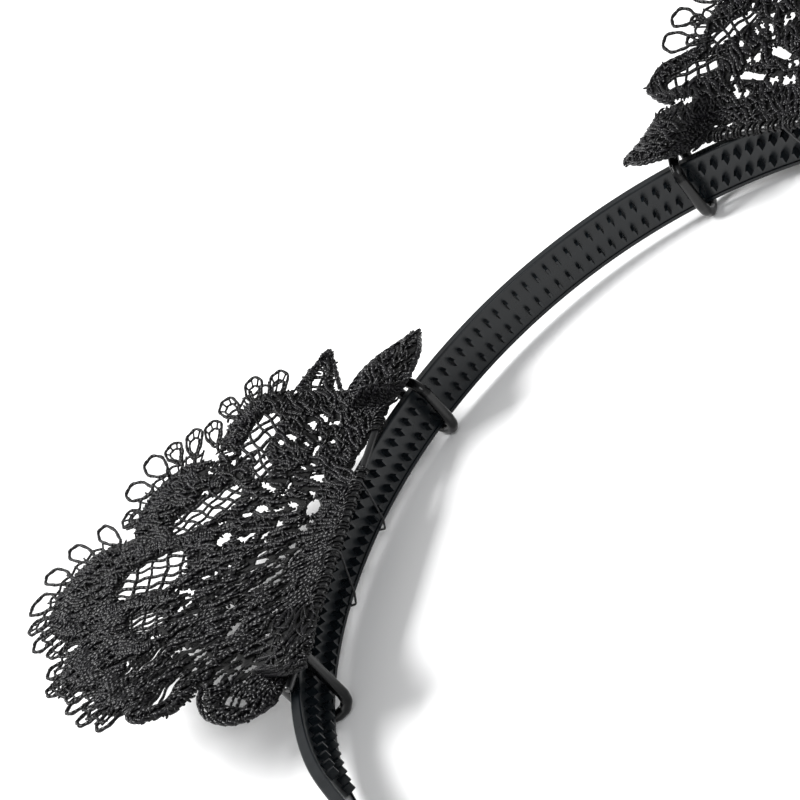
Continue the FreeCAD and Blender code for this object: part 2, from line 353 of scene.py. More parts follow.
@dataclass(frozen=True)
class EarSurface:
    """The curved surface that the lace lies on, from flat millimetres to metres in the frame.

    A flat point is u along the base wire, towards the crown, and v away from the head. The surface leans up
    from the base by a small slant, and its two sides curl up as the square of u, more and more away from the
    base, as a cat's ear does. Over each ring it is lifted clear, and leans back towards the strap there.
    """

    side: Side
    middle_mm: tuple[float, float, float]
    base_slant: float
    lift_deg: float = 7.0
    ring_lift_mm: float = 4.8
    lean_back: tuple[float, float] = (-1.58, -1.2)
    tip_droop: float = 0.3
    outer_ring_u: float = -22.0
    cup_mm: float = 5.0
    cup_width_mm: float = 36.0
    cup_start_mm: float = 25.0

    @classmethod
    def from_frame(cls, side: Side) -> EarSurface:
        """Lay the surface on the base wire, where the frame's left tilt joint has its axis.

        Args:
            side: Which ear it is for. The right one is mirrored when its meshes are built.

        Returns:
            The surface.
        """
        tilt = next(joint for joint in FRAME["joints"] if joint["name"] == "left_ear_tilt")
        middle = tuple(float(value) / MM for value in tilt["pos_m"])
        return cls(side, middle, math.atan2(tilt["axis"][1], tilt["axis"][0]))

    def over_rings(self, u: np.ndarray, v: np.ndarray) -> np.ndarray:
        """How far the lace is lifted over the two rings, in millimetres.

        The whole tongue rises past the inner ring, and a smooth bump rises over the outer one.
        """
        tongue = ramp(u, 25.0, 36.0) * (1 - ramp(v, 5.5, 11.5))
        tongue = tongue * (1 - self.tip_droop * ramp(u, 39.0, 45.0))
        bump = (1 - ramp(np.abs(u - self.outer_ring_u), 2.0, 6.5)) * (1 - ramp(v, 3.5, 8.5))
        return self.ring_lift_mm * np.maximum(tongue, bump)

    def axes(self) -> tuple[np.ndarray, np.ndarray, np.ndarray]:
        """Directions along the base, up the leaning ear, and square to both."""
        slant, lift = self.base_slant, math.radians(self.lift_deg)
        along = np.array([math.cos(slant), math.sin(slant), 0.0])
        out = np.array([-math.sin(slant), math.cos(slant), 0.0])
        up = np.array([0.0, 0.0, 1.0])
        return along, out * math.cos(lift) + up * math.sin(lift), up * math.cos(lift) - out * math.sin(lift)

    def place(self, u: np.ndarray, v: np.ndarray, height: np.ndarray) -> tuple[np.ndarray, np.ndarray]:
        """Find the points on the left ear at flat places and heights, in millimetres.

        The point is the middle of the base, plus u along it, plus v up the ear, plus the curl along the
        third direction. The normal is the third direction less the curl's slopes along the other two.

        Args:
            u: Flat places along the base.
            v: Flat places away from it.
            height: How far each stands off the surface.

        Returns:
            The points and the surface's normals there.
        """
        along, away, square = self.axes()
        start = smooth_step(v / self.cup_start_mm)
        curl = self.cup_mm * (u / self.cup_width_mm) ** 2
        slope_u = 2 * self.cup_mm * u / self.cup_width_mm**2 * start
        slope_v = curl * smooth_slope(v / self.cup_start_mm) / self.cup_start_mm
        normal = square - slope_u[..., None] * along - slope_v[..., None] * away
        normal /= np.linalg.norm(normal, axis=-1, keepdims=True)
        flat = u[..., None] * along + v[..., None] * away + (curl * start)[..., None] * square
        lean = self.lean_back[0] * along + self.lean_back[1] * away + square
        flat = flat + self.over_rings(u, v)[..., None] * lean
        return np.array(self.middle_mm) + flat + height[..., None] * normal, normal


@dataclass(frozen=True)
class Leaf:
    """A round-ended shape on the flat ear: discs in a row, from one radius to another."""

    start: tuple[float, float]
    end: tuple[float, float]
    start_radius: float
    end_radius: float

    def depth(self, u: np.ndarray, v: np.ndarray) -> np.ndarray:
        """How deep places are in the shape: the radius at the nearest point of its line less the distance."""
        first, last = np.array(self.start), np.array(self.end)
        way = last - first
        length = max(float(way @ way), 1e-9)
        part = np.clip(((u - first[0]) * way[0] + (v - first[1]) * way[1]) / length, 0.0, 1.0)
        radius = self.start_radius + part * (self.end_radius - self.start_radius)
        return radius - np.hypot(u - first[0] - part * way[0], v - first[1] - part * way[1])


@dataclass(frozen=True)
class Opening:
    """An opening in the lace, and the way and spacing of each set of threads worked across it."""

    shape: Leaf
    angles_deg: tuple[float, ...] = ()
    pitches_mm: tuple[float, ...] = ()


@dataclass(frozen=True)
class Picot:
    """A loop of thread outside the edge: its middle, the way it points, its half sizes and its work."""

    middle: tuple[float, float]
    points_deg: float
    reach: float
    breadth: float
    chained: bool = False


@dataclass(frozen=True)
class Pattern:
    """The lace's pattern, flat and in millimetres, as it is on the left ear."""

    base_edge: float = -1.1
    scallops: tuple[Leaf, ...] = (
        Leaf((24.5, 21.5), (24.5, 21.5), 9.3, 9.3),
        Leaf((13.5, 35.5), (13.5, 35.5), 9.8, 9.8),
        Leaf((-1.0, 47.0), (-1.0, 47.0), 10.5, 10.5),
        Leaf((-15.5, 37.5), (-15.5, 37.5), 9.7, 9.7),
        Leaf((-24.5, 26.5), (-24.5, 26.5), 9.0, 9.0),
    )
    body: tuple[Leaf, ...] = (
        Leaf((-24.0, 8.0), (24.5, 8.0), 8.5, 8.5),
        Leaf((-12.0, 20.0), (12.0, 20.0), 14.0, 14.0),
        Leaf((0.0, 30.0), (0.0, 42.0), 12.0, 10.0),
        Leaf((-30.0, 7.4), (-30.0, 7.4), 6.3, 6.3),
        Leaf((-30.6, 21.2), (-27.0, 20.5), 5.4, 5.4),
        Leaf((28.0, 14.2), (41.0, 13.0), 4.9, 0.5),
    )
    tongue: tuple[Leaf, ...] = (
        Leaf((30.0, 3.0), (37.0, 2.2), 4.8, 4.6),
        Leaf((37.0, 2.2), (44.0, -0.7), 4.4, 1.3),
    )
    openings: tuple[Opening, ...] = (
        Opening(Leaf((14.3, 0.6), (24.6, -2.3), 2.1, 1.7)),
        Opening(Leaf((0.3, 35.0), (-0.5, 40.4), 4.5, 4.0), (86.0, 8.0), (1.8, 3.1)),
        Opening(Leaf((10.8, 34.0), (13.2, 26.6), 2.9, 3.0), (60.0, 128.0), (1.9, 2.0)),
        Opening(Leaf((-9.8, 36.0), (-12.2, 32.2), 2.0, 2.2), (104.0, 22.0), (1.3, 2.3)),
        Opening(Leaf((23.6, 23.2), (27.0, 21.8), 2.9, 2.7), (40.0, 118.0), (2.1, 2.3)),
        Opening(Leaf((17.6, 20.2), (20.2, 21.6), 1.7, 1.6), (35.0, 120.0), (1.7, 1.9)),
        Opening(Leaf((-22.8, 30.6), (-19.2, 27.2), 1.7, 1.8), (150.0,), (1.25,)),
        Opening(Leaf((-31.4, 20.7), (-28.0, 20.6), 1.7, 1.6), (4.0,), (1.1,)),
        Opening(Leaf((34.2, 13.9), (37.6, 13.3), 1.15, 0.75), (174.0, 78.0), (1.2, 1.9)),
        Opening(Leaf((-33.0, 6.9), (-32.2, 9.6), 0.75, 0.95), (2.0,), (1.2,)),
        Opening(Leaf((4.2, 24.1), (4.5, 24.4), 1.3, 1.4)),
        Opening(Leaf((3.5, 18.1), (3.6, 19.9), 0.75, 0.9)),
        Opening(Leaf((-3.9, 25.1), (-3.0, 23.4), 0.65, 0.7)),
        Opening(Leaf((-18.4, 14.5), (-15.7, 13.7), 0.75, 0.7)),
        Opening(Leaf((6.2, 7.4), (7.3, 7.8), 1.4, 1.2)),
        Opening(Leaf((-4.8, 8.2), (-2.9, 7.6), 0.7, 0.65)),
        Opening(Leaf((-9.2, 14.3), (-8.4, 13.5), 0.55, 0.5)),
        Opening(Leaf((9.0, 17.9), (9.7, 18.9), 0.75, 0.7)),
        Opening(Leaf((-13.2, 17.5), (-12.2, 16.3), 0.5, 0.45)),
        Opening(Leaf((19.0, 10.9), (20.6, 10.6), 0.45, 0.42)),
        Opening(Leaf((11.4, 14.3), (12.4, 14.2), 0.55, 0.5)),
        Opening(Leaf((-24.4, 25.8), (-23.8, 26.6), 0.6, 0.5)),
        Opening(Leaf((2.8, 15.9), (3.2, 15.4), 0.6, 0.6)),
    )
    picots: tuple[Picot, ...] = (
        Picot((11.8, 50.8), 52, 3.3, 1.6),
        Picot((9.2, 55.8), 60, 3.6, 1.7),
        Picot((5.2, 59.4), 68, 3.2, 1.9),
        Picot((-0.4, 60.2), 82, 2.5, 2.7),
        Picot((-5.3, 58.6), 112, 2.2, 1.9, True),
        Picot((-9.4, 55.0), 128, 2.5, 2.2),
        Picot((-12.2, 51.2), 160, 2.0, 1.9, True),
        Picot((14.8, 46.6), 86, 2.1, 2.0, True),
        Picot((20.4, 46.8), 72, 2.8, 2.1),
        Picot((24.6, 44.3), 52, 2.9, 2.1),
        Picot((26.5, 40.8), 38, 2.3, 1.9, True),
        Picot((27.3, 36.9), 14, 2.8, 1.9, True),
        Picot((28.2, 32.8), 24, 2.6, 1.9, True),
        Picot((32.4, 30.0), 48, 2.7, 1.9, True),
        Picot((34.5, 25.5), 18, 2.7, 1.9, True),
        Picot((34.6, 20.8), 2, 2.7, 1.9, True),
        Picot((-13.2, 48.0), 100, 2.0, 1.9, True),
        Picot((-17.9, 47.4), 108, 2.3, 2.2),
        Picot((-22.4, 45.4), 140, 2.0, 1.9, True),
        Picot((-23.3, 42.2), 158, 2.0, 1.9, True),
        Picot((-25.4, 39.6), 150, 2.0, 1.9, True),
        Picot((-28.1, 37.3), 132, 2.4, 2.1),
        Picot((-31.5, 33.2), 160, 2.5, 1.6),
        Picot((-33.4, 28.3), 172, 2.8, 1.9),
    )

    # The degrees round each scallop that its arcs of thread cover.
    link_spans_deg: tuple[tuple[float, float], ...] = (
        (-10, 60), (-5, 95), (25, 150), (85, 150), (85, 170)
    )
    # The satin bands' middle lines, and how wide each is.
    satin_bands: tuple[tuple[Line, float], ...] = (
        (((-10.5, 47.5), (-6.0, 52.5), (0.0, 54.5), (5.0, 52.6), (8.6, 48.6)), 3.6),
        (((10.5, 43.4), (15.0, 41.6), (18.6, 39.4), (20.6, 34.5)), 3.2),
        (((25.0, 28.6), (28.8, 27.0), (31.0, 23.5)), 2.6),
        (((-14.0, 44.4), (-18.5, 42.6), (-22.0, 38.6)), 3.2),
        (((-25.0, 33.2), (-29.0, 30.0), (-31.4, 26.4)), 3.0),
        (((-6.6, 44.5), (-6.2, 38.0), (-6.2, 31.0)), 2.4),
        (((6.2, 44.0), (6.6, 38.0), (6.4, 31.0), (6.0, 27.0)), 2.6),
        (((17.0, 33.5), (17.2, 29.0), (15.6, 24.0)), 2.4),
        (((-17.0, 36.5), (-17.8, 31.5), (-16.6, 26.5)), 2.6),
    )
    lobe_cords: tuple[Line, ...] = (
        ((-28.6, 16.2), (-33.0, 17.8), (-36.2, 21.3), (-35.2, 24.2), (-32.4, 25.6)),
        ((-29.6, 14.6), (-32.6, 13.8), (-35.6, 11.4), (-36.5, 7.4), (-34.6, 3.6), (-32.8, 1.6)),
    )
    leaf_cords: tuple[Line, ...] = (
        ((41.6, 12.9), (37.6, 15.0), (33.5, 17.2)),
        ((41.8, 13.0), (38.0, 11.4), (33.4, 9.6)),
        ((45.2, -0.6), (41.0, 4.4), (37.4, 6.8), (33.4, 8.0)),
        ((45.2, -1.4), (40.6, -2.5), (36.0, -2.3), (31.4, -1.6)),
    )

    def depth(self, u: np.ndarray, v: np.ndarray) -> np.ndarray:
        """How deep places are in the solid parts of the lace, in millimetres, and below 0 outside them.

        The body and scallops join by the greatest depth, end at the base edge, gain the tongue that hangs
        past it, and lose every opening.

        Args:
            u: Flat places along the base.
            v: Flat places away from it.

        Returns:
            The depth at each place.
        """
        solid = np.max([leaf.depth(u, v) for leaf in (*self.scallops, *self.body)], axis=0)
        solid = np.minimum(solid, v - self.base_edge)
        solid = np.max([solid, *[leaf.depth(u, v) for leaf in self.tongue]], axis=0)
        cut = np.max([opening.shape.depth(u, v) for opening in self.openings], axis=0)
        return np.minimum(solid, -cut)

    def slope(self, u: np.ndarray, v: np.ndarray) -> tuple[np.ndarray, np.ndarray]:
        """The way that the depth grows at places, as two parts of a unit vector, by small differences."""
        step = 0.05
        across = self.depth(u + step, v) - self.depth(u - step, v)
        up = self.depth(u, v + step) - self.depth(u, v - step)
        size = np.maximum(np.hypot(across, up), 1e-9)
        return across / size, up / size


def right_pattern(left: Pattern) -> Pattern:
    """Redraw the corner near the inner ring for the right ear, which is another cut of the same lace.

    Its tongue is closed over the wire, its leaf is longer and more open, and its loops are large and plain.

    Args:
        left: The left ear's pattern.

    Returns:
        The right ear's, drawn the same way round, since its meshes are mirrored when they are built.
    """
    openings = (
        Opening(Leaf((31.0, 18.7), (26.2, 22.7), 1.7, 1.6), (128.0, 40.0), (1.5, 1.9)),
        Opening(Leaf((31.0, 14.1), (37.6, 11.4), 1.9, 1.15), (160.0, 68.0), (1.5, 2.1)),
        Opening(Leaf((18.5, 15.6), (15.7, 14.2), 0.85, 0.75)),
        Opening(Leaf((23.4, 11.5), (18.8, 10.5), 0.75, 0.6)),
        Opening(Leaf((25.4, 1.9), (22.0, 1.9), 0.5, 0.45)),
        *[hole for hole in left.openings if hole.shape.start[0] < 12.0],
    )
    picots = (
        Picot((38.3, 22.8), 6, 2.0, 2.0),
        Picot((37.9, 18.4), -2, 2.6, 1.9),
        Picot((36.4, 27.8), 26, 2.3, 2.0),
        Picot((35.7, 22.4), 8, 1.2, 1.1),
        Picot((35.2, 18.7), 0, 1.2, 1.1),
        *[loop for loop in left.picots if loop.middle[0] < 30.0],
    )
    leaf = (Leaf((28.0, 14.0), (38.3, 11.9), 4.9, 3.2), Leaf((38.3, 11.9), (42.3, 10.7), 3.0, 0.5))
    body = (*left.body[:-1], *leaf)
    tongue = (
        Leaf((30.0, 3.0), (37.0, 2.9), 4.8, 4.6),
        Leaf((37.0, 2.8), (43.2, -1.2), 4.4, 1.0),
    )
    leaf_cords = (
        ((42.6, 10.8), (40.6, 14.0), (36.6, 15.9), (32.5, 18.0)),
        ((42.6, 10.3), (39.8, 8.8), (37.0, 8.2)),
        ((43.8, -1.4), (41.2, 3.2), (38.6, 6.4), (35.0, 8.0)),
        ((43.8, -1.7), (40.2, -2.3), (36.0, -1.9), (31.4, -1.5)),
    )
    return replace(
        left, body=body, tongue=tongue, openings=openings, picots=picots, leaf_cords=leaf_cords
    )


# ----------------------------------------------------------------------------------------- thread and cloth


@dataclass
class MeshParts:
    """Points, quads, end faces and per-corner thread places of a growing mesh."""

    points: list[np.ndarray]
    quads: list[np.ndarray]
    ends: list[np.ndarray]
    runs: list[np.ndarray]
    shades: list[np.ndarray]
    count: int = 0


class ThreadWork:
    """Threads worked on one ear, gathered into a single mesh.

    Every thread is a tube: a ring of points carried along its path. At each path point the ring lies across
    the thread, between the surface's normal and the direction square to it and to the thread.
    """

    def __init__(self, surface: EarSurface, sides: int = 6) -> None:
        """Start with no threads, on one ear's surface, with that many sides to a thread."""
        self.surface = surface
        self.sides = sides
        self.parts = MeshParts([], [], [], [], [])

    def add(self, flat: np.ndarray, height: np.ndarray, radius: np.ndarray, shade: np.ndarray) -> None:
        """Add threads that all have the same number of points.

        Args:
            flat: Threads by points by 2, the flat places in millimetres.
            height: Threads by points, the height of each above the surface.
            radius: Threads by points, the thread's radius there.
            shade: Threads, from 0 for a dark one to 1 for a light one.
        """
        centre, normal = self.surface.place(flat[..., 0], flat[..., 1], height)
        self.sweep(centre, normal, radius, shade)

    def sweep(self, centre: np.ndarray, normal: np.ndarray, radius: np.ndarray, shade: np.ndarray) -> None:
        """Carry a ring along each thread's points in space.

        A ring point is the path point plus the radius times the cosine of its turn along the side direction
        and the sine along the normal.

        Args:
            centre: Threads by points by 3, the path.
            normal: Threads by points by 3, a direction that is never along the thread.
            radius: Threads by points.
            shade: Threads.
        """
        threads, steps = centre.shape[:2]
        tangent = np.gradient(centre, axis=1)
        tangent /= np.linalg.norm(tangent, axis=-1, keepdims=True)
        side = np.cross(normal, tangent)
        side /= np.maximum(np.linalg.norm(side, axis=-1, keepdims=True), 1e-9)
        lift = np.cross(tangent, side)
        turn = np.arange(self.sides) / self.sides * math.tau
        spokes = np.cos(turn)[:, None] * side[..., None, :] + np.sin(turn)[:, None] * lift[..., None, :]
        rings = centre[..., None, :] + radius[..., None, None] * spokes

        index = np.arange(threads * steps * self.sides).reshape(threads, steps, self.sides) + self.parts.count
        after = np.roll(index, -1, axis=2)
        quads = np.stack([index[:, :-1], after[:, :-1], after[:, 1:], index[:, 1:]], -1).reshape(-1, 4)
        ends = np.concatenate([index[:, 0, ::-1], index[:, -1]])

        stride = np.linalg.norm(np.diff(centre, axis=1), axis=-1)
        length = np.concatenate([np.zeros((threads, 1)), np.cumsum(stride, axis=1)], axis=1)
        around = np.arange(self.sides + 1) / self.sides
        run = np.empty((threads, steps, self.sides + 1, 2))
        run[..., 0] = length[..., None]
        run[..., 1] = around
        corners = [run[:, :-1, :-1], run[:, :-1, 1:], run[:, 1:, 1:], run[:, 1:, :-1]]
        self.parts.runs.append(np.stack(corners, axis=-2).reshape(-1, 2))
        self.parts.points.append(rings.reshape(-1, 3))
        self.parts.quads.append(quads)
        self.parts.ends.append(ends)
        self.parts.shades.append(np.repeat(shade, steps * self.sides))
        self.parts.count += threads * steps * self.sides

    def piece(self, name: str, material: bpy.types.Material) -> bpy.types.Object:
        """Make the gathered threads one object.

        Args:
            name: The object's name.
            material: Its material.

        Returns:
            The object, with its threads' places in the UV map run and their tones in the attribute shade.
        """
        points = np.concatenate(self.parts.points)
        quads, ends = np.concatenate(self.parts.quads), np.concatenate(self.parts.ends)
        runs = np.concatenate([*self.parts.runs, np.zeros((ends.size, 2))])
        shades = np.concatenate(self.parts.shades)
        return build_mesh(name, self.surface, points, [quads, ends], runs, shades, material)


def build_mesh(
    name: str,
    surface: EarSurface,
    points: np.ndarray,
    faces: list[np.ndarray],
    runs: np.ndarray,
    shades: np.ndarray,
    material: bpy.types.Material,
) -> bpy.types.Object:
    """Put arrays of points and faces into a mesh, mirrored for the right ear.

    The mirror turns X round and lists each face's corners backwards, so that it still faces outwards.

    Args:
        name: The object's name.
        surface: The ear's surface, for its side.
        points: Points by 3, in millimetres.
        faces: Arrays of faces, each array with one number of corners.
        runs: The places along and round a thread, one for each corner in the order of the faces.
        shades: The tone at each point.
        material: The piece's material.

    Returns:
        The new object.
    """
    if surface.side is Side.RIGHT:
        points = points * np.array([-1.0, 1.0, 1.0])
        split, start = [], 0
        for group in faces:
            block = runs[start : start + group.size].reshape(len(group), group.shape[1], 2)
            split.append(block[:, ::-1].reshape(-1, 2))
            start += group.size
        runs = np.concatenate(split)
        faces = [group[:, ::-1] for group in faces]
    corners = np.concatenate([group.ravel() for group in faces]).astype(np.int32)
    totals = np.concatenate([np.full(len(group), group.shape[1]) for group in faces]).astype(np.int32)
    starts = np.concatenate([[0], np.cumsum(totals)[:-1]]).astype(np.int32)
    mesh = bpy.data.meshes.new(name)
    mesh.vertices.add(len(points))
    mesh.loops.add(len(corners))
    mesh.polygons.add(len(totals))
    mesh.vertices.foreach_set("co", (points * MM).astype(np.float32).ravel())
    mesh.loops.foreach_set("vertex_index", corners)
    mesh.polygons.foreach_set("loop_start", starts)
    mesh.polygons.foreach_set("loop_total", totals)
    mesh.polygons.foreach_set("use_smooth", totals == 4)
    mesh.uv_layers.new(name="run").data.foreach_set("uv", runs.astype(np.float32).ravel())
    tone = mesh.attributes.new("shade", "FLOAT", "POINT")
    tone.data.foreach_set("value", shades.astype(np.float32))
    mesh.update(calc_edges=True)
    mesh.validate()
    mesh.materials.append(material)
    piece = bpy.data.objects.new(name, mesh)
    bpy.context.scene.collection.objects.link(piece)
    return piece


def unit(degrees: float) -> np.ndarray:
    """The flat direction at an angle from the base, as two parts of a unit vector."""
    return np.array([math.cos(math.radians(degrees)), math.sin(math.radians(degrees))])


def stretches(inside: np.ndarray, least: int) -> list[slice]:
    """Find the unbroken stretches of a row of flags.

    Args:
        inside: One flag for each point along a line.
        least: The fewest points that make a stretch.

    Returns:
        A slice for each stretch.
    """
    padded = np.concatenate([[False], inside, [False]]).astype(int)
    change = np.diff(padded)
    firsts, lasts = np.flatnonzero(change == 1), np.flatnonzero(change == -1)
    return [slice(a, b) for a, b in zip(firsts, lasts) if b - a >= least]


def smooth_line(points: tuple[tuple[float, float], ...], spacing: float) -> np.ndarray:
    """Carry a smooth curve through a few places, as a Catmull-Rom spline.

    Between two places the curve is the cubic whose slope at each is half the step between its neighbours.

    Args:
        points: The places to pass through.
        spacing: How far apart the curve's own points are, in millimetres.

    Returns:
        The curve's points by 2.
    """
    knots = np.array(points, float)
    knots = np.concatenate([[2 * knots[0] - knots[1]], knots, [2 * knots[-1] - knots[-2]]])
    parts = []
    for before, here, there, after in zip(knots, knots[1:], knots[2:], knots[3:]):
        steps = max(2, int(np.linalg.norm(there - here) / spacing))
        t = np.linspace(0, 1, steps, endpoint=False)[:, None]
        slope_in, slope_out = (there - before) / 2, (after - here) / 2
        curve = (2 * t**3 - 3 * t**2 + 1) * here + (t**3 - 2 * t**2 + t) * slope_in
        parts.append(curve + (3 * t**2 - 2 * t**3) * there + (t**3 - t**2) * slope_out)
    return np.concatenate([*parts, knots[-2:-1]])


@dataclass
class LaceEar:
    """One embroidered lace ear, worked on its surface in the order that a machine would stitch it."""

    side: Side
    pattern: Pattern
    thread: bpy.types.Material
    satin: bpy.types.Material
    ground: bpy.types.Material
    ground_span_mm: Span = ((-39.0, 47.0), (-5.0, 60.0))
    ground_cell_mm: float = 0.42
    ground_half_thickness_mm: float = 0.13
    # The place below the base that the ribs fan out from, and the slits between them.
    focus_mm: tuple[float, float] = (0.0, -12.0)
    slits: int = 190
    slit_span_mm: Span = ((-29.0, 27.0), (7.0, 34.0))
    # Ribs start and stop at these distances from the focus, and are a pitch apart at the third.
    rib_reach_mm: tuple[float, float] = (11.0, 73.0)
    rib_pitch_mm: float = 1.25
    rib_pitch_reach_mm: float = 27.0
    rib_point_mm: float = 0.55
    rib_fan_margin: float = 0.16
    rib_outer_starts_mm: tuple[float, float] = (30.0, 47.0)
    rib_radius_mm: float = 0.35
    rib_height_mm: float = 0.36
    filling_span_mm: Span = ((-37.0, 46.0), (-3.5, 58.0))
    filling_spacing_mm: float = 1.15
    filling_radius_mm: float = 0.21
    edging_span_mm: Span = ((-38.0, 47.0), (-4.5, 59.0))
    edging_spacing_mm: float = 0.5
    edging_reach_mm: float = 0.42
    edging_radius_mm: float = 0.235
    net_radius_mm: float = 0.3
    net_point_mm: float = 0.4
    net_half_mm: float = 14.0
    net_rows_half_mm: float = 9.0
    picot_radius_mm: float = 0.31
    chain_radii_mm: tuple[float, float] = (0.27, 0.22)
    bar_radius_mm: float = 0.18
    link_radius_mm: float = 0.24
    link_bar_radius_mm: float = 0.2
    satin_radius_mm: float = 0.24
    # A cord is three strands of this radius, twisted at the second distance from its middle line.
    cord_strand_mm: float = 0.26
    cord_twist_mm: float = 0.24
    wire_radius_mm: float = 0.6
    whipping_radius_mm: float = 0.2
    # Where the whipping starts along the base, and how far it runs.
    whipping_from_mm: float = -30.5
    whipping_length_mm: float = 61.0

    def __post_init__(self) -> None:
        """Set the surface, the ear's own random draws, and the slits between its ribs."""
        self.surface = EarSurface.from_frame(self.side)
        self.draw = np.random.default_rng(11 if self.side is Side.LEFT else 12)
        self.slit_shapes = self.scatter_slits()

    def name(self, word: str) -> str:
        """The name of one of this ear's pieces."""
        return f"{self.side.value}_lace_{word}"

    def scatter_slits(self) -> list[Leaf]:
        """Scatter short radial slits between the ribs, where the stitching parts and light comes through."""
        corners = np.array(self.slit_span_mm).T
        spread = self.draw.uniform(corners[0], corners[1], (self.slits, 2))
        way = spread - np.array(self.focus_mm)
        way /= np.linalg.norm(way, axis=1, keepdims=True)
        half = self.draw.uniform(0.2, 1.0, self.slits)[:, None]
        girth = self.draw.uniform(0.32, 0.55, self.slits)
        first, last = spread - way * half, spread + way * half
        return [Leaf(tuple(a), tuple(b), float(r), float(r)) for a, b, r in zip(first, last, girth)]

    def depth(self, u: np.ndarray, v: np.ndarray) -> np.ndarray:
        """How deep places are in the lace, less its slits."""
        cut = np.max([slit.depth(u, v) for slit in self.slit_shapes], axis=0)
        return np.minimum(self.pattern.depth(u, v), -cut)

    def flow(self, u: np.ndarray, v: np.ndarray) -> np.ndarray:
        """The way that the stitching runs at places, in radians.

        It fans out from a focus below the base, and turns to run along the base near the wire and along the
        tongue.
        """
        fan = np.arctan2(v - self.focus_mm[1], u - self.focus_mm[0])
        low = 1 - ramp(v, 2.0, 6.0)
        tongue = ramp(u, 26.0, 32.0) * (1 - ramp(v, 8.0, 12.0))
        leaf = ramp(u, 26.0, 31.0) * (1 - tongue)
        angle = fan * (1 - low) + np.where(fan > math.pi / 2, math.pi, 0.0) * low
        angle = angle * (1 - tongue) + math.radians(-18) * tongue
        return angle * (1 - 0.7 * leaf)

    def work_ground(self) -> bpy.types.Object:
        """The flat ear is a grid of small squares. Those whose middle is inside the lace are kept, each point
        on their edge slides down the depth's slope onto the outline, and the cells become the top, the
        bottom and, where a neighbour is missing, the wall of a thin closed sheet.
        """
        cell = self.ground_cell_mm
        span_u, span_v = self.ground_span_mm
        grid_v, grid_u = np.meshgrid(np.arange(*span_v, cell), np.arange(*span_u, cell), indexing="ij")
        middle_v, middle_u = grid_v[:-1, :-1] + cell / 2, grid_u[:-1, :-1] + cell / 2
        keep = self.depth(middle_u, middle_v) > 0
        for _ in range(3):
            corner = keep[:-1, :-1] & keep[1:, 1:] & ~keep[:-1, 1:] & ~keep[1:, :-1]
            keep[:-1, 1:] |= corner
            corner = keep[:-1, 1:] & keep[1:, :-1] & ~keep[:-1, :-1] & ~keep[1:, 1:]
            keep[:-1, :-1] |= corner
        framed = np.pad(keep, 1)
        around = framed[:-1, :-1].astype(int) + framed[1:, :-1] + framed[:-1, 1:] + framed[1:, 1:]
        edge = (around > 0) & (around < 4)
        slope_u, slope_v = self.pattern.slope(grid_u, grid_v)
        slide = np.clip(self.pattern.depth(grid_u, grid_v), -0.5 * cell, 0.5 * cell) * edge
        flat_u, flat_v = grid_u - slope_u * slide, grid_v - slope_v * slide

        count = grid_u.size
        index = np.arange(count).reshape(grid_u.shape)
        corners = [index[:-1, :-1], index[:-1, 1:], index[1:, 1:], index[1:, :-1]]
        top = np.stack(corners, -1)[keep]
        missing = [~framed[:-2, 1:-1], ~framed[1:-1, 2:], ~framed[2:, 1:-1], ~framed[1:-1, :-2]]
        walls = []
        for number, gone in enumerate(missing):
            first, second = corners[number][keep & gone], corners[(number + 1) % 4][keep & gone]
            walls.append(np.stack([second, first, first + count, second + count], -1))
        faces = np.concatenate([top, top[:, ::-1] + count, *walls])
        rise = np.full(grid_u.shape, self.ground_half_thickness_mm)
        upper, _ = self.surface.place(flat_u, flat_v, rise)
        lower, _ = self.surface.place(flat_u, flat_v, -rise)
        points = np.concatenate([upper.reshape(-1, 3), lower.reshape(-1, 3)])
        used, faces = np.unique(faces, return_inverse=True)
        faces = faces.reshape(-1, 4)
        flat = np.stack([flat_u.ravel(), flat_v.ravel()], -1)[used % count]
        runs = flat[faces.ravel()]
        shades = self.draw.uniform(0.0, 0.5, len(used))
        name, points = self.name("ground"), points[used]
        piece = build_mesh(name, self.surface, points, [faces], runs, shades, self.ground)
        self.flat_area = float(keep.sum()) * (cell * MM) ** 2
        self.flat_size = (float(np.ptp(flat[:, 0])) * MM, float(np.ptp(flat[:, 1])) * MM)
        return piece

    def work_ribs(self) -> bpy.types.Object:
        """Work the ribs: long wavering strands that fan out from the focus, on both faces of the ground.

        A rib is a straight ray whose angle sways with its length as a sine, and it is cut where the lace
        stops. Outer rays start part of the way up, between the inner ones, to keep the spacing even.
        """
        work = ThreadWork(self.surface, sides=6)
        reach = np.arange(*self.rib_reach_mm, self.rib_point_mm)
        step = self.rib_pitch_mm / self.rib_pitch_reach_mm
        margin = self.rib_fan_margin
        rays = [(angle, 0.0) for angle in np.arange(margin, math.pi - margin, step)]
        for share, start in zip((2, 4), self.rib_outer_starts_mm):
            rays += [(angle + step / share, start) for angle, _ in rays]
        for angle, start in rays:
            for face in (1.0, -1.0):
                phase = self.draw.uniform(0, math.tau)
                sway = 0.012 * np.sin(reach / 2.4 + phase) + 0.008 * np.sin(reach / 0.9 + 2 * phase)
                u = self.focus_mm[0] + reach * np.cos(angle + sway)
                v = self.focus_mm[1] + reach * np.sin(angle + sway)
                inside = (self.depth(u, v) > 0.12) & (reach > start) & (v > 0.4)
                height = face * (self.rib_height_mm + 0.12 * np.sin(reach / 1.3 + phase))
                for part in stretches(inside, 4):
                    flat = np.stack([u[part], v[part]], -1)[None]
                    radius = self.rib_radius_mm * (1 + 0.16 * np.sin(reach[part] / 0.8 + phase))[None]
                    radius[:, [0, -1]] *= 0.6
                    work.add(flat, height[part][None], radius, self.draw.uniform(0.1, 0.9, 1))
        return work.piece(self.name("ribs"), self.thread)

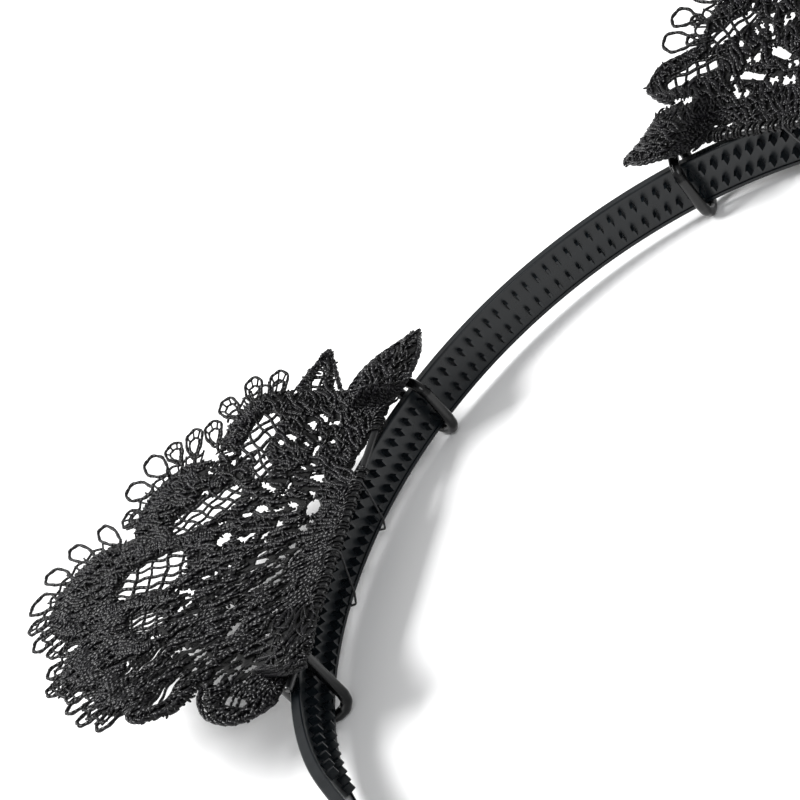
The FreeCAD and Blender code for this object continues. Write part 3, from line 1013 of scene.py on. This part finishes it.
    def stitch(
        self,
        work: ThreadWork,
        middle: np.ndarray,
        angle: np.ndarray,
        length: np.ndarray,
        height: np.ndarray,
        radius: float,
        arch: float = 0.3,
    ) -> None:
        """Add short stitches, each arching over the threads below it with its ends drawn in.

        Along a stitch t runs from -1 to 1. The place is the middle plus half the length times t, bent
        sideways a little as the square of t. The height is its own plus the arch times one less t squared.

        Args:
            work: The threads to add them to.
            middle: Stitches by 2, their flat middles.
            angle: Their directions, in radians.
            length: Their lengths.
            height: The heights of their ends.
            radius: The thread's radius.
            arch: How much higher the middle is, on the side of the ground that the height is.
        """
        t = np.linspace(-1, 1, 6)
        along = np.stack([np.cos(angle), np.sin(angle)], -1)[:, None]
        across = np.stack([-np.sin(angle), np.cos(angle)], -1)[:, None]
        bend = self.draw.normal(0, 0.16, len(middle))[:, None, None]
        flat = middle[:, None] + along * (length[:, None] / 2 * t)[..., None]
        flat = flat + across * bend * (t * t - 0.5)[None, :, None]
        rise = height[:, None] + np.sign(height)[:, None] * arch * (1 - t * t)
        girth = radius * self.draw.uniform(0.8, 1.2, len(middle))[:, None] * (1 - 0.5 * t**6)
        keep = (self.depth(flat[..., 0], flat[..., 1]) > -0.12).all(axis=1)
        shade = self.draw.uniform(0, 1, len(middle))
        work.add(flat[keep], rise[keep], girth[keep], shade[keep])

    def scatter(self, span: Span, spacing: float) -> np.ndarray:
        """Scatter places over a span: a grid whose points each stray by up to half its spacing.

        Args:
            span: The stretches of u and v that the grid fills.
            spacing: The grid's spacing, in millimetres.

        Returns:
            The places by 2.
        """
        span_u, span_v = span
        v, u = np.meshgrid(np.arange(*span_v, spacing), np.arange(*span_u, spacing), indexing="ij")
        places = np.stack([u.ravel(), v.ravel()], -1)
        return places + self.draw.uniform(-0.5, 0.5, places.shape) * spacing

    def work_filling(self) -> bpy.types.Object:
        """Work the filling: stitches scattered evenly on both faces, lying along the flow or across it."""
        work = ThreadWork(self.surface, sides=5)
        for face in (1.0, -1.0):
            middle = self.scatter(self.filling_span_mm, self.filling_spacing_mm)
            middle = middle[self.depth(middle[:, 0], middle[:, 1]) > 0.25]
            flow = self.flow(middle[:, 0], middle[:, 1])
            lean = np.where(self.draw.uniform(0, 1, len(middle)) < 0.5, 0.55, -0.7)
            angle = flow + lean + self.draw.normal(0, 0.25, len(middle))
            length = self.draw.uniform(1.5, 2.7, len(middle))
            height = face * self.draw.uniform(0.2, 0.6, len(middle))
            self.stitch(work, middle, angle, length, height, self.filling_radius_mm, arch=0.2)
        return work.piece(self.name("filling"), self.thread)

    def work_edging(self) -> bpy.types.Object:
        """Work the edging: satin stitches across every outline, close together, with uneven tips.

        Places scattered near an outline slide down the depth's slope onto it, so the stitches follow the
        scallops, the leaves, the net windows and the holes alike.
        """
        work = ThreadWork(self.surface, sides=5)
        middle = self.scatter(self.edging_span_mm, self.edging_spacing_mm)
        depth = self.pattern.depth(middle[:, 0], middle[:, 1])
        near = np.abs(depth) < self.edging_reach_mm
        middle, depth = middle[near], depth[near]
        slope_u, slope_v = self.pattern.slope(middle[:, 0], middle[:, 1])
        slope = np.stack([slope_u, slope_v], -1)
        length = self.draw.uniform(1.1, 2.1, len(middle))
        outer = self.pattern_solid(middle) < 0.7
        proud = np.where(outer, self.draw.uniform(-0.1, 0.34, len(middle)), -0.05)
        proud = proud + 0.4 * outer * (self.draw.uniform(0, 1, len(middle)) < 0.14)
        seat = middle + slope * (length / 2 - proud - depth)[:, None]
        angle = np.arctan2(slope_v, slope_u) + self.draw.normal(0, 0.22, len(middle))
        height = self.draw.uniform(-0.4, 0.4, len(middle))
        t = np.linspace(-1, 1, 5)
        along = np.stack([np.cos(angle), np.sin(angle)], -1)[:, None]
        flat = seat[:, None] + along * (length[:, None] / 2 * t)[..., None]
        rise = height[:, None] * (1.15 - 0.3 * t * t)
        girth = self.edging_radius_mm * self.draw.uniform(0.8, 1.2, len(middle))[:, None] * (1 - 0.45 * t**6)
        work.add(flat, rise, girth, self.draw.uniform(0, 0.9, len(middle)))
        return work.piece(self.name("edging"), self.thread)

    def work_nets(self) -> bpy.types.Object:
        """Work the nets and bars across the openings: parallel threads, each swaying as a sine."""
        work = ThreadWork(self.surface, sides=5)
        run = np.arange(-self.net_half_mm, self.net_half_mm, self.net_point_mm)
        half = self.net_rows_half_mm
        for opening in self.pattern.openings:
            centre = (np.array(opening.shape.start) + np.array(opening.shape.end)) / 2
            for family, (angle, pitch) in enumerate(zip(opening.angles_deg, opening.pitches_mm)):
                way = unit(angle)
                across = np.array([-way[1], way[0]])
                for row in np.arange(-half, half, pitch) + self.draw.uniform(-0.3, 0.3):
                    phase = self.draw.uniform(0, math.tau)
                    sway = 0.2 * np.sin(run / 1.1 + phase) + self.draw.normal(0, 0.12)
                    flat = centre + way * run[:, None] + across * (row + sway)[:, None]
                    inside = opening.shape.depth(flat[:, 0], flat[:, 1]) > -0.8
                    inside &= self.pattern_solid(flat) > -0.2
                    for part in stretches(inside, 4):
                        size = part.stop - part.start
                        lift = 0.16 * np.sin(run[part] * math.pi / 1.9 + family * math.pi)[None]
                        girth = np.full((1, size), self.net_radius_mm) * self.draw.uniform(0.8, 1.2)
                        work.add(flat[part][None], lift, girth, self.draw.uniform(0, 0.6, 1))
        return work.piece(self.name("nets"), self.thread)

    def pattern_solid(self, flat: np.ndarray) -> np.ndarray:
        """The depth in the lace as if it had no openings, so that a net stays inside the outline."""
        leaves = (*self.pattern.scallops, *self.pattern.body, *self.pattern.tongue)
        return np.max([leaf.depth(flat[:, 0], flat[:, 1]) for leaf in leaves], axis=0)

    def work_picots(self) -> bpy.types.Object:
        """Work the picots and the arcs that link them.

        A loop's point at a turn is its middle, less the reach times the turn's cosine along its way, plus
        the breadth times the sine across it, narrowed towards the foot. A chained one has a smaller loop
        inside it and short bars between the two.
        """
        work = ThreadWork(self.surface, sides=6)
        turn = np.linspace(0.12, math.tau - 0.12, 34)
        for picot in self.pattern.picots:
            phase = self.draw.uniform(0, math.tau)
            way = unit(picot.points_deg)
            across = np.array([-way[1], way[0]])
            narrow = 0.72 - 0.28 * np.cos(turn)
            rope = 1 + 0.035 * np.sin(7 * turn + phase)
            loops = [(1.15, self.picot_radius_mm)]
            if picot.chained:
                loops = list(zip((1.15, 0.68), self.chain_radii_mm))
            outline = []
            for size, radius in loops:
                along = -picot.reach * np.cos(turn) * size * rope - (1 - size) * picot.reach * 0.4
                aside = picot.breadth * np.sin(turn) * size * rope * narrow
                flat = np.array(picot.middle) + way * along[:, None] + across * aside[:, None]
                foot = np.array(picot.middle) - way * (picot.reach + 1.3)
                flat = np.concatenate([[foot], flat, [foot]])
                lift = 0.12 * np.sin(2 * np.linspace(0, math.tau, len(flat)) + phase)
                girth = np.full(len(flat), radius)
                girth[1:-1] += 0.04 * np.sin(9 * turn)
                work.add(flat[None], lift[None], girth[None], self.draw.uniform(0, 0.5, 1))
                outline.append(flat)
            if picot.chained:
                for number in range(5, 32, 4):
                    bar = np.linspace(outline[0][number], outline[1][number], 3)
                    girth = np.full((1, 3), self.bar_radius_mm)
                    work.add(bar[None], np.zeros((1, 3)), girth, np.array([0.3]))
        self.work_links(work)
        return work.piece(self.name("picots"), self.thread)

    def work_links(self, work: ThreadWork) -> None:
        """Add the wavering arcs that run through the loops round each scallop, and their short bars.

        An arc's distance from the scallop's middle is its radius plus the wave times a sine, one wave to
        each wavelength along the arc.
        """
        gap, wave, wavelength = 1.5, 0.4, 3.6
        shade = np.array([0.25])
        for scallop, (first, last) in zip(self.pattern.scallops, self.pattern.link_spans_deg):
            radius = scallop.start_radius + gap
            angle = np.radians(np.arange(first, last, 2.2))
            phase = self.draw.uniform(0, math.tau)
            ripple = radius + wave * np.sin(angle * radius * math.tau / wavelength + phase)
            arc = np.stack([ripple * np.cos(angle), ripple * np.sin(angle)], -1)
            flat = np.array(scallop.start) + arc
            free = self.pattern.depth(flat[:, 0], flat[:, 1]) < 0.4
            for part in stretches(free, 4):
                size = part.stop - part.start
                girth = np.full((1, size), self.link_radius_mm)
                work.add(flat[part][None], np.full((1, size), 0.05), girth, shade)
            for degrees in np.arange(first, last, 9.0) + self.draw.uniform(-2, 2):
                bar = np.linspace(scallop.start_radius - 0.6, scallop.start_radius + 2.3, 5)
                flat = np.array(scallop.start) + bar[:, None] * unit(degrees)
                if self.pattern.depth(flat[-1:, 0], flat[-1:, 1])[0] < -1.2:
                    girth = np.full((1, len(bar)), self.link_bar_radius_mm)
                    work.add(flat[None], np.zeros((1, len(bar))), girth, shade)

    def work_satin(self) -> bpy.types.Object:
        """Work the satin bands inside the scallops' edges, and the cords round the outer lobes.

        A band's stitches lie across its line, side by side, and arch over it.
        """
        work = ThreadWork(self.surface, sides=5)
        for line, width in self.pattern.satin_bands:
            path = smooth_line(line, 0.34)
            way = np.gradient(path, axis=0)
            angle = np.arctan2(way[:, 1], way[:, 0]) + math.pi / 2
            for face in (1.0, -1.0):
                slant = angle + 0.35 * face + self.draw.normal(0, 0.16, len(path))
                length = width * self.draw.uniform(0.75, 1.15, len(path))
                height = np.full(len(path), 0.4 * face) + self.draw.normal(0, 0.08, len(path))
                self.stitch(work, path, slant, length, height, self.satin_radius_mm, arch=0.26)
        for line in (*self.pattern.lobe_cords, *self.pattern.leaf_cords):
            path = smooth_line(line, 0.4)
            for phase in (0.0, math.pi * 2 / 3, math.pi * 4 / 3):
                turn = np.arange(len(path)) * 0.62 + phase
                way = np.gradient(path, axis=0)
                way /= np.linalg.norm(way, axis=1, keepdims=True)
                across = np.stack([-way[:, 1], way[:, 0]], -1)
                flat = path + across * (self.cord_twist_mm * np.cos(turn))[:, None]
                girth = np.full((1, len(path)), self.cord_strand_mm)
                rise = self.cord_twist_mm * np.sin(turn)[None]
                work.add(flat[None], rise, girth, self.draw.uniform(0, 0.7, 1))
        return work.piece(self.name("satin"), self.satin)

    def work_whipping(self) -> bpy.types.Object:
        """Whip the lace to its wire: a helix along the base wire, whose turns bite into the lace's edge.

        A point of the helix goes round the wire by cosine and sine while it moves along it, and its outer
        half reaches further, over the lace.
        """
        work = ThreadWork(self.surface, sides=5)
        along, away, square = self.surface.axes()
        for start, pitch in ((0.0, 1.35), (0.6, 2.1)):
            turn = np.arange(0.0, self.whipping_length_mm / pitch * math.tau, math.tau / 14)
            u = self.whipping_from_mm + start + turn / math.tau * pitch
            radius = self.wire_radius_mm + self.whipping_radius_mm + 0.25 * smooth_step(np.cos(turn))
            centre = np.array(self.surface.middle_mm) + u[:, None] * along
            spoke = np.cos(turn)[:, None] * away + np.sin(turn)[:, None] * square
            path = centre + radius[:, None] * spoke
            bound = self.pattern.depth(u, np.full(len(u), 0.9)) > 0.2
            for part in stretches(bound, 8):
                girth = np.full((1, part.stop - part.start), self.whipping_radius_mm)
                work.sweep(path[part][None], spoke[part][None], girth, self.draw.uniform(0.0, 0.4, 1))
        return work.piece(self.name("whipping"), self.thread)

    def make(self) -> list[bpy.types.Object]:
        """Work the whole ear and put it in the plain solid's place.

        Returns:
            The ear's pieces, the ground first.
        """
        ground = self.work_ground()
        steps = (
            self.work_ribs,
            self.work_filling,
            self.work_edging,
            self.work_nets,
            self.work_picots,
            self.work_satin,
            self.work_whipping,
        )
        others = [step() for step in steps]
        for piece in (ground, *others):
            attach(piece, f"{self.side.value}_ear")
            LOG.info("%s: %d faces", piece.name, len(piece.data.polygons))
        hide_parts(f"{self.side.value}_lace")
        return [ground, *others]


# --------------------------------------------------------------------------------------- hardware and studio


@dataclass
class Hardware:
    """The band, rings, wires and ties, which keep their modelled shapes and take their finishes."""

    band: MouldedStyrene = MouldedStyrene()
    ring: NitrileRubber = NitrileRubber()
    wire: LacqueredWire = LacqueredWire()
    tie: TieThread = TieThread()

    def dress(self) -> None:
        """Give every shown frame node the finish that its name calls for."""
        finishes = {
            "hair_band": self.band.material(),
            "ring": self.ring.material(),
            "wire": self.wire.material(),
            "tie": self.tie.material(),
        }
        for name in FRAME["nodes"]:
            word = next((key for key in finishes if name.endswith(key)), None)
            if word is None:
                continue
            piece = bpy.data.objects[name]
            for number in range(len(piece.data.materials)):
                piece.data.materials[number] = finishes[word]
            LOG.info("%s dressed", name)


@dataclass
class Studio:
    """A white table, soft lamps and the camera."""

    paper: MattePaper = MattePaper()
    table_size: float = 6.0
    lens_mm: float = 91.6
    camera_place: tuple[float, float, float] = (-0.00226, -0.24593, 0.15841)
    camera_right: tuple[float, float, float] = (0.76248, -0.23188, -0.60403)
    camera_up: tuple[float, float, float] = (0.64128, 0.39477, 0.65796)
    camera_back: tuple[float, float, float] = (0.08588, -0.88904, 0.44970)

    def lay_table(self) -> None:
        """Lay the paper at the height that the rings stand on, as one flat square."""
        half = self.table_size / 2
        level = CAD_BOX[0].z - 0.00002
        corners = [(-half, -half, level), (half, -half, level), (half, half, level), (-half, half, level)]
        mesh = bpy.data.meshes.new("table")
        mesh.from_pydata(corners, [], [(0, 1, 2, 3)])
        mesh.materials.append(self.paper.material())
        table = bpy.data.objects.new("table", mesh)
        bpy.context.scene.collection.objects.link(table)

    def hang_lamp(self, name: str, place: tuple, aim: tuple, size: float, power: float, colour: str) -> None:
        """Hang one square soft lamp.

        Args:
            name: The lamp's name.
            place: Where it hangs, in metres.
            aim: The point that it faces.
            size: The side of its diffuser, in metres.
            power: Its power in watts.
            colour: Its colour as sRGB hex.
        """
        lamp = bpy.data.lights.new(name, "AREA")
        lamp.shape = "SQUARE"
        lamp.size = size
        lamp.energy = power
        lamp.color = linear(colour)[:3]
        holder = bpy.data.objects.new(name, lamp)
        bpy.context.scene.collection.objects.link(holder)
        holder.location = place
        way = np.array(aim) - np.array(place)
        pitch = math.atan2(math.hypot(way[0], way[1]), -way[2])
        holder.rotation_euler = (pitch, 0.0, math.atan2(way[1], way[0]) - math.pi / 2)

    def fill_room(self, strength: float) -> None:
        """Fill the room with even white light."""
        world = bpy.data.worlds.new("room")
        bpy.context.scene.world = world
        world.use_nodes = True
        glow = world.node_tree.nodes["Background"]
        glow.inputs["Color"].default_value = linear("#ffffff")
        glow.inputs["Strength"].default_value = strength

    def set_camera(self) -> None:
        """Set the camera where the band is seen from its open side, from above and to one side."""
        lens = bpy.data.cameras.new("camera")
        lens.lens = self.lens_mm
        lens.sensor_width = 36.0
        lens.clip_start = 0.01
        lens.clip_end = 20.0
        camera = bpy.data.objects.new("camera", lens)
        bpy.context.scene.collection.objects.link(camera)
        columns = (self.camera_right, self.camera_up, self.camera_back, self.camera_place)
        matrix = np.eye(4)
        matrix[:3] = np.array(columns).T
        camera.matrix_world = Matrix(matrix.tolist())
        bpy.context.scene.camera = camera

    def build(self) -> None:
        """Lay the table, hang the lamps, fill the room and set the camera."""
        self.lay_table()
        self.hang_lamp("key", (-0.5, 0.3, 0.7), (-0.02, 0.03, 0.0), 0.45, 12.0, "#ffffff")
        self.hang_lamp("front", (0.2, -0.8, 0.7), (0.0, 0.0, 0.0), 0.5, 3.5, "#fbfdff")
        self.fill_room(0.48)
        self.set_camera()
        bpy.context.scene.view_settings.view_transform = "Standard"


def main() -> None:
    """Build the studio, the hardware's finishes and the two ears."""
    logging.basicConfig(level=logging.INFO, format="%(name)s: %(message)s")
    Studio().build()
    Hardware().dress()
    thread = LaceThread().material()
    satin = LaceThread("polyester_satin_thread", "#020203", "#121116", roughness=0.3).material()
    ground = LaceThread("polyester_ground", "#030303", "#0a0a0b", roughness=0.7).material()
    patterns = {Side.LEFT: Pattern(), Side.RIGHT: right_pattern(Pattern())}
    for side, pattern in patterns.items():
        LaceEar(side, pattern, thread, satin, ground).make()


if __name__ == "__main__":
    main()
